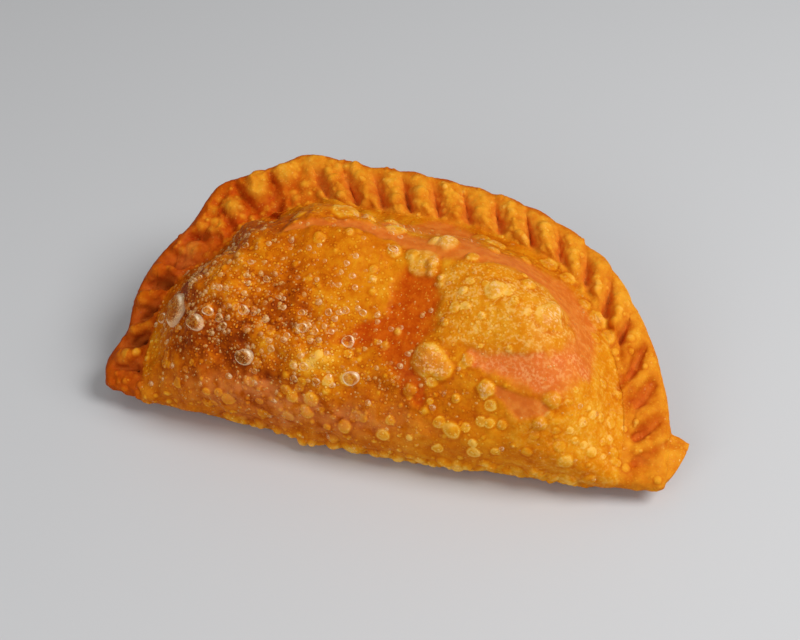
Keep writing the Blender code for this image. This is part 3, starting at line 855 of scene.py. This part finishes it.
    # what else the finish needs to know of each point
    crowded = np.clip(patches(along, depth, BUBBLED), 0, 1.2) * top * off_rim
    across = 1 - from_edge / rim_width(angle)
    # painted shade: the inner ends of the left pleats' grooves, which the finish paints darker and redder
    hollow_shade = np.clip(groove, 0, 1) * ease(angle, *LEFT_PLEATS) * on_rim * (1 - ease(across, 0.4, 0.9))
    backward = ease(angle, 32, 45) * ease(130 - angle, 0, 10)
    # the grooves and the dips between the corner knobs turn redder: partly the dough's own colour, partly
    # painted shade
    rim_red = groove**2 * (0.7 - 0.35 * backward) + 0.7 * (1 - knob_top) * at_corner
    rim_red = (rim_red + 0.2 * (1 - knob_top) * left_rim * top) * on_rim
    smooth = 1 - broad_top
    crust.notes = {
        "tone": tone + 0.12 * ragged,
        # red: the red dough of the valley bands and the grooves, with painted shade added as deeper red in
        # the creases and groove ends
        "red": np.clip(np.maximum(red * smooth, rim_red) + 0.7 * crease + 0.9 * hollow_shade, 0, 1),
        "orange": np.clip(orange * smooth + (0.8 + 0.2 * backward) * groove * on_rim, 0, 1),
        "pink": pink * smooth,
        "white": white,
        "sheen": np.clip(patches(shifted_along, shifted_depth, SHEEN), 0, 1) * skin,
        "rim": on_rim,
        "bubbled": crowded,
        "calm": calm,
        # painted shade: the creases and groove ends, which the finish blends towards near-black
        "dark": np.clip(crease * (0.1 + 0.12 * left_rim) + 0.55 * hollow_shade, 0, 1),
        "bare": bare * smooth,
        "flecked": right_skin * (1 - 0.5 * broad_top) + 0.4 * belly * top * ease(along, 30, 50),
    }
    crust.crowded = crowded + 0.016 * belly * top


# ---- the pieces

# a bubble's grid, how far its wall closes in at the foot, in degrees, and its seed
BIG_BUBBLE = (28, 94, 31)
SMALL_BUBBLE = (6, 88, 34)
FROTH_SEED = 32
BUBBLE_RISE, BULGING = 0.42, 0.6
# the bubbles bulge a little upwards and forwards of the crust they stand on
BUBBLE_LEAN = (0.1, -0.55, 0.6)
# the froth of small bubbles: how many, how far apart and the seed, their widths, lengths and odd sizes
FROTH = (1500, 0.8, 33)
FROTH_WIDTHS = (0.38, 0.78)
FROTH_LENGTHS = (0.85, 1.25)
FROTH_SIZES = (1, 1, 1, 1.3, 2.2)
# the flat map: how many strips the rim makes, and what stays empty round each sheet and each bubble
RIM_STRIPS = 3
SHEET_MARGINS = (0.01, 0.02)
BUBBLE_MARGIN = 0.08


def add_object(name, data):
    thing = bpy.data.objects.new(name, data)
    bpy.context.scene.collection.objects.link(thing)
    return thing


def make_piece(name, points, faces, normals, notes, material, places):
    """A piece of the crust, in metres, with its notes kept for the finish."""
    mesh = bpy.data.meshes.new(name)
    mesh.vertices.add(len(points))
    mesh.vertices.foreach_set("co", (points * MM).astype(np.float32).ravel())
    mesh.loops.add(faces.size)
    mesh.loops.foreach_set("vertex_index", faces.astype(np.int32).ravel())
    mesh.polygons.add(len(faces))
    mesh.polygons.foreach_set("loop_start", np.arange(0, faces.size, faces.shape[1], dtype=np.int32))
    mesh.update(calc_edges=True)
    mesh.shade_smooth()
    layer = mesh.uv_layers.new(name="OFBake")
    layer.data.foreach_set("uv", places.astype(np.float32).ravel())
    for note, values in notes.items():
        mesh.attributes.new(note, "FLOAT", "POINT").data.foreach_set("value", values.astype(np.float32))
    mesh.normals_split_custom_set_from_vertices(normals.astype(np.float32).tolist())
    mesh.materials.append(material)
    piece = add_object(name, mesh)
    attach(piece, "root")
    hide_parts(NODE)


def sheet_places(rows, columns, strips):
    """Where each face corner lies on the flat map, the sheet cut into strips one above the other."""
    row, column = np.divmod(np.arange((rows - 1) * (columns - 1)), columns - 1)
    strip = np.minimum(column * strips // (columns - 1), strips - 1)
    length = (columns - 1) / strips
    side, end = SHEET_MARGINS
    corners = []
    for down, right in ((0, 0), (0, 1), (1, 1), (1, 0)):
        x = side + (1 - 2 * side) * (column + right - strip * length) / length
        y = end + (1 - 2 * end) * (row + down) / (rows - 1)
        corners.append(np.stack([x, (strip + y) / strips], axis=-1))
    return np.stack(corners, axis=1)


def blow_bubbles(name, spots, big, material):
    """Thin-walled bubbles of dried fat and dough, joined in one mesh: each spot is a place on the crust,
    the way it faces, a length, a width and a height."""
    steps, closing, seed = BIG_BUBBLE if big else SMALL_BUBBLE
    random = np.random.default_rng(seed)
    line = np.linspace(-1, 1, steps + 1)
    x, y = (side.ravel() for side in np.meshgrid(line, line))
    x, y = x * np.sqrt(1 - y * y / 2), y * np.sqrt(1 - x * x / 2)
    radius, turn = np.hypot(x, y), np.arctan2(y, x)
    lean = radius * math.radians(closing)
    # painted highlights: fixed bright arcs on a big bubble and a bright spot on a small one, where the
    # light would catch it
    if big:
        glint = hump(radius, 0.5, 0.07) * hump(turn, 0.8, 0.45)
        glint = glint + 0.7 * hump(radius, 0.62, 0.06) * hump(turn, -2.3, 0.4)
    else:
        glint = hump(np.hypot(x - 0.34, y - 0.22), 0, 0.2)
    count = (steps + 1) ** 2
    cells = math.ceil(math.sqrt(len(spots)))
    flat = np.stack(np.divmod(np.arange(count), steps + 1)[::-1], axis=-1)
    flat = BUBBLE_MARGIN + (1 - 2 * BUBBLE_MARGIN) * flat / steps
    points, normals, places, draws = [], [], [], []
    for number, (place, facing, length, width, height) in enumerate(spots):
        facing = Vector(facing).normalized()
        first = Vector((1, 0, 0)) - facing * facing.x
        first, facing = np.array(first.normalized()), np.array(facing)
        second = np.cross(facing, first)
        phase = random.uniform(0, 2 * math.pi, 2)
        uneven = 1 + 0.07 * np.sin(2 * turn + phase[0]) + 0.05 * np.sin(3 * turn + phase[1])
        out = np.sin(lean) * uneven
        bubble = np.outer(out * np.cos(turn) * length / 2, first)
        bubble = bubble + np.outer(out * np.sin(turn) * width / 2, second)
        bubble = bubble + np.outer(np.cos(lean) * height, facing)
        points.append(place + bubble)
        normals.append(unit(facing + BULGING * unit(bubble)))
        draws.append(random.uniform())
        places.append((flat + np.array(divmod(number, cells))) / cells)
    square = grid_faces(steps + 1, steps + 1, False)
    faces = np.concatenate([square + count * number for number in range(len(spots))])
    lengths = np.array([length for _, _, length, _, _ in spots])
    notes = {
        "wall": np.tile(radius, len(spots)),
        "draw": np.repeat(draws, count),
        "white": np.repeat(ease(lengths, 1, 1.9) * 0.6 + 0.4 * ease(lengths, 1.9, 3), count),
        "shine": np.tile(glint, len(spots)),
    }
    places = np.concatenate([place[square] for place in places])
    make_piece(name, np.concatenate(points), faces, np.concatenate(normals), notes, material, places)


def bubbles(crust, normals):
    """The big glassy bubbles where they stand, and a froth of small ones crowding the left side."""
    film = bubble_finish()
    spots = []
    for along, depth, length, width in GLASSY:
        number = crust.nearest(along, depth)
        size = min(length, width)
        lift = 0.06 * size
        facing = normals[number] + (1 - lift) * np.array(BUBBLE_LEAN)
        place = crust.points[number] + normals[number] * (lift - 0.4)
        spots.append((place, facing, length, width, BUBBLE_RISE * size))
    blow_bubbles("glassy_bubbles", spots, True, film)
    random = np.random.default_rng(FROTH_SEED)
    on_belly = np.zeros(len(crust.points))
    on_belly[crust.parts["belly"][0]] = 1
    spots = []
    for number in scatter(crust.points, crust.crowded * on_belly, *FROTH):
        width = random.uniform(*FROTH_WIDTHS) * random.choice(FROTH_SIZES)
        length = width * random.uniform(*FROTH_LENGTHS)
        place = crust.points[number] - normals[number] * 0.06
        spots.append((place, normals[number], length, width, BUBBLE_RISE * width))
    blow_bubbles("fine_bubbles", spots, False, film)


# ---- the finishes


class Wire:
    """A value inside a material: sums on it add Math nodes."""

    def __init__(self, finish, socket):
        self.finish = finish
        self.socket = socket

    def __add__(self, other):
        return self.finish.math("ADD", self, other)

    def __sub__(self, other):
        return self.finish.math("SUBTRACT", self, other)

    def __mul__(self, other):
        return self.finish.math("MULTIPLY", self, other)

    def __rsub__(self, other):
        return self.finish.math("SUBTRACT", other, self)

    __radd__ = __add__
    __rmul__ = __mul__


class Finish:
    """A material built from nodes."""

    def __init__(self, name):
        self.material = bpy.data.materials.new(name)
        self.material.use_nodes = True
        self.tree = self.material.node_tree
        self.tree.nodes.clear()

    def node(self, kind, settings=(), sockets=(), out=0):
        """Any node: what it is set to, what its sockets take, and which output is used."""
        node = self.tree.nodes.new("ShaderNode" + kind)
        for name, value in dict(settings).items():
            if name == "stops":
                steps = node.color_ramp.elements
                while len(steps) < len(value):
                    steps.new(1)
                for step, (position, color) in zip(steps, value):
                    step.position, step.color = position, color
            else:
                setattr(node, name, value)
        for name, value in dict(sockets).items():
            if isinstance(value, Wire):
                self.tree.links.new(value.socket, node.inputs[name])
            else:
                node.inputs[name].default_value = value
        return Wire(self, node.outputs[out]) if node.outputs else None

    def math(self, operation, first, second=0):
        return self.node("Math", {"operation": operation}, {0: first, 1: second})

    def note(self, name):
        return self.node("Attribute", {"attribute_name": name}, out="Fac")

    def ease(self, value, start, end):
        settings = {"interpolation_type": "SMOOTHSTEP"}
        return self.node("MapRange", settings, {"Value": value, "From Min": start, "From Max": end})

    def blend(self, share, first, second):
        sockets = {"Factor": share, 6: first, 7: second}
        return self.node("Mix", {"data_type": "RGBA", "clamp_factor": True}, sockets, out=2)

    def grain(self, place, size, detail=2):
        sockets = {"Vector": place, "Scale": 1 / (size * MM), "Detail": detail}
        return self.node("TexNoise", (), sockets, out="Fac")

    def cells(self, place, size):
        """The distance to the nearest cell's middle, and a number for each cell."""
        sockets = {"Vector": place, "Scale": 1 / (size * MM)}
        away = self.node("TexVoronoi", (), sockets, out="Distance")
        color = self.node("TexVoronoi", (), sockets, out="Color")
        return away, self.node("SeparateColor", (), {"Color": color})

    def surface(self, sockets):
        shader = self.node("BsdfPrincipled", (), sockets)
        self.node("OutputMaterial", (), {"Surface": shader})
        return self.material


def rgb(red, green, blue):
    return (red, green, blue, 1)


# the fried dough from its darkest tone to its lightest
DOUGH = (
    (0, rgb(0.18, 0.022, 0.001)),
    (0.18, rgb(0.31, 0.047, 0.001)),
    (0.36, rgb(0.45, 0.084, 0.001)),
    (0.54, rgb(0.58, 0.144, 0.002)),
    (0.7, rgb(0.67, 0.212, 0.004)),
    (0.86, rgb(0.74, 0.3, 0.012)),
    (1, rgb(0.84, 0.45, 0.07)),
)


def crust_finish():
    """Fried annatto dough: golden skin, deep orange where it stays smooth, redder in the grooves, with
    painted shade darkening the grooves, creases and blister feet.
    """
    f = Finish("crust")
    place = f.node("TexCoord", out="Object")
    wide, middle, fine = f.grain(place, 7), f.grain(place, 2.6, 3), f.grain(place, 0.8, 3)
    away, draw = f.cells(place, 1.25)
    tiny_away, tiny_draw = f.cells(place, 0.75)
    red, orange, pink, white, sheen = (f.note(name) for name in ("red", "orange", "pink", "white", "sheen"))
    rim, calm, bubbled, dark, bare = (f.note(name) for name in ("rim", "calm", "bubbled", "dark", "bare"))

    # beads and pinpricks too fine for the relief
    blistered = (1 - rim * 0.55) * (1 - bare * 0.6) * (1 - calm * 0.6)
    bead = f.ease(away, 0.36, 0.18) * f.ease(draw, 0.35, 0.5) * blistered
    # painted shade: a darker ring round the foot of each fine bead
    foot = f.ease(away, 0.26, 0.38) * f.ease(away, 0.52, 0.42) * f.ease(draw, 0.35, 0.5) * blistered
    pinprick = f.ease(tiny_away, 0.32, 0.14) * f.ease(tiny_draw, 0.52, 0.62) * (1 - calm * 0.5)
    mottle = (wide - 0.5) * 0.5 + (middle - 0.5) * 0.6 + (fine - 0.5) * 0.25
    tone = f.note("tone") + mottle * (0.85 + bubbled * 0.5 - rim * 0.2)
    tone = tone + bead * (0.16 + bubbled * 0.14) - foot * (0.07 + bubbled * 0.1)
    tone = tone + pinprick * (0.12 + bubbled * 0.22)

    color = f.node("ValToRGB", {"stops": DOUGH}, {"Fac": tone})
    rim_color = f.blend(f.ease(tone, 0.35, 0.95), rgb(0.51, 0.08, 0.002), rgb(0.83, 0.345, 0.025))
    color = f.blend(rim * 0.45, color, rim_color)
    open_dough = 1 - bead * 0.5
    reddest, red_skin = rgb(0.45, 0.044, 0.001), rgb(0.6, 0.094, 0.003)
    deep_red = f.blend(f.ease(middle + fine * 0.4, 0.5, 0.95), reddest, red_skin)
    # the red dough of the bands and grooves, partly painted shade in the creases, grooves and groove ends
    color = f.blend(red * open_dough * (1 - pinprick * 0.6) * 0.9, color, deep_red)
    color = f.blend(red * pinprick * 0.45, color, rgb(0.72, 0.26, 0.03))
    flame = f.blend(f.ease(middle, 0.35, 0.65), rgb(0.63, 0.135, 0.014), rgb(0.72, 0.19, 0.024))
    color = f.blend(orange * open_dough * 0.9, color, flame)
    # the rose of the pink bands: partly the dough's own colour, partly a painted bluish reflection
    rose = f.blend(f.ease(fine, 0.4, 0.66), rgb(0.7, 0.15, 0.022), rgb(0.8, 0.29, 0.09))
    rosy = 0.5 + f.ease(wide + middle * 0.5, 0.88, 0.62) * 0.4
    color = f.blend(pink * rosy * open_dough, color, rose)
    color = f.blend(sheen * f.ease(middle, 0.3, 0.6) * 0.5, color, rgb(0.68, 0.22, 0.065))
    flecks = f.ease(fine + middle * 0.5, 0.74, 0.92)
    color = f.blend(f.note("flecked") * flecks * 0.5, color, rgb(0.82, 0.44, 0.12))
    color = f.blend(white * (0.04 + flecks * 0.62), color, rgb(0.9, 0.54, 0.28))
    # painted shade: the creases and groove ends are darkened towards near-black
    color = f.blend(dark, color, rgb(0.17, 0.014, 0.001))

    height = fine * 0.2 + middle * 0.35 + bead * 0.45 + pinprick * 0.12
    bump = f.node("Bump", (), {"Strength": 0.45, "Distance": 0.5 * MM, "Height": height}, out="Normal")
    return f.surface({
        "Base Color": color,
        "Roughness": 0.34 + fine * 0.2 + rim * 0.12 - bare * 0.04,
        "Subsurface Weight": 0.12,
        "Subsurface Radius": (1, 0.35, 0.08),
        "Subsurface Scale": 1.2 * MM,
        "IOR": 1.45,
        "Specular IOR Level": 0.03,
        "Coat Weight": (bead + pinprick * 0.5 + white * 0.5) * 0.2,
        "Coat Roughness": 0.14,
        "Normal": bump,
    })


def bubble_finish():
    """A glassy film: nearly clear on top, whitish in a ring near its foot, partly its own colour and partly
    painted reflection of a wall seen edge-on, with painted reflection lines and painted glints.
    """
    f = Finish("bubble_film")
    streaks = f.grain(f.node("TexCoord", out="Object"), 0.9)
    wall, draw, white, shine = (f.note(name) for name in ("wall", "draw", "white", "shine"))
    ring = f.ease(wall, 0.45, 0.72) * f.ease(wall, 1, 0.86)
    # painted reflection: thin white lines standing in for arcs of light on the film
    lines = f.ease(f.math("ABSOLUTE", streaks - 0.5), 0.035, 0.012) * f.ease(wall, 0.9, 0.6)
    dot = (1 - white) * f.ease(wall, 0.95, 0.5)
    cover = 0.02 + draw * 0.06 + ring * (0.04 + streaks * 0.2 + white * 0.24) + lines * (0.03 + white * 0.3)
    cover = cover + dot * (0.04 + draw * 0.4) + shine * (0.15 + white * 0.75)
    pale = f.blend(white, rgb(0.95, 0.46, 0.07), rgb(1, 0.7, 0.4))
    color = f.blend(f.ease(wall, 0.3, 0.8), rgb(0.9, 0.42, 0.06), pale)
    # painted highlight: each bubble's fixed glint is lighter and more opaque
    color = f.blend(shine * (0.3 + white * 0.6), color, rgb(1, 0.9, 0.68))
    return f.surface({"Base Color": color, "Roughness": 0.1 + streaks * 0.12, "IOR": 1.45, "Alpha": cover})


# ---- the studio, in metres and degrees

AZIMUTH, ELEVATION, ROLL = 16.03, 40.8, -1.15
LENS, SENSOR = 63, 36
EYE_DISTANCE = 0.3855
AIM = (-0.0019, -0.0031, 0.0222)
LIT_PLACE = (0, 0, 0.02)
# each light's name, place, size and power
LIGHTS = (("window", (0.6, -0.03, 0.73), 0.55, 7.2), ("front_light", (-0.25, -0.8, 0.5), 0.6, 2.4))
ROOM_BRIGHTNESS = 0.3
FLOOR_COLOR = rgb(0.58, 0.585, 0.595)
FLOOR_REACH = 3


def camera():
    """A 63 mm lens a forearm away, at the height of a seated person's eye."""
    azimuth, elevation, roll = (math.radians(angle) for angle in (AZIMUTH, ELEVATION, ROLL))
    level = Vector((math.cos(azimuth), math.sin(azimuth), 0))
    ahead = Vector((-math.sin(azimuth), math.cos(azimuth), 0))
    forward = ahead * math.cos(elevation) - Vector((0, 0, 1)) * math.sin(elevation)
    plumb = level.cross(forward)
    right = level * math.cos(roll) + plumb * math.sin(roll)
    up = plumb * math.cos(roll) - level * math.sin(roll)
    data = bpy.data.cameras.new("camera")
    data.lens = LENS
    data.sensor_width = SENSOR
    data.clip_start = 0.01
    data.clip_end = 10
    eye = add_object("camera", data)
    turn = Matrix((right, up, -forward)).transposed()
    eye.matrix_world = Matrix.Translation(Vector(AIM) - forward * EYE_DISTANCE) @ turn.to_4x4()
    bpy.context.scene.camera = eye


def lamp(name, place, size, power):
    data = bpy.data.lights.new(name, "AREA")
    data.shape = "DISK"
    data.size = size
    data.energy = power
    light = add_object(name, data)
    light.location = place
    light.rotation_mode = "QUATERNION"
    light.rotation_quaternion = (Vector(LIT_PLACE) - Vector(place)).to_track_quat("-Z", "Y")


def studio():
    """A pale plain floor, a large soft light high on the right, a weaker one in front, and a pale room."""
    scene = bpy.context.scene
    scene.view_settings.view_transform = "Standard"
    scene.world = bpy.data.worlds.new("room")
    scene.world.use_nodes = True
    room = scene.world.node_tree.nodes["Background"].inputs
    room["Color"].default_value = rgb(1, 1, 1)
    room["Strength"].default_value = ROOM_BRIGHTNESS
    for light in LIGHTS:
        lamp(*light)
    mesh = bpy.data.meshes.new("floor")
    corners = [(x * FLOOR_REACH, y * FLOOR_REACH, 0) for x, y in ((-1, -1), (1, -1), (1, 1), (-1, 1))]
    mesh.from_pydata(corners, [], [(0, 1, 2, 3)])
    mesh.materials.append(Finish("floor").surface({"Base Color": FLOOR_COLOR, "Roughness": 0.6}))
    floor = add_object("floor", mesh)


def build():
    crust = Crust()
    raise_crust(crust)
    normals = crust.normals()
    finish = crust_finish()
    for name, (span, rows, columns, faces) in crust.parts.items():
        notes = {note: values[span] for note, values in crust.notes.items()}
        places = sheet_places(rows, columns, RIM_STRIPS if name == "rim" else 1)
        if name != "belly":
            places = places[:, ::-1]
        make_piece(name, crust.points[span], faces, normals[span], notes, finish, places)
    bubbles(crust, normals)


build()
camera()
studio()
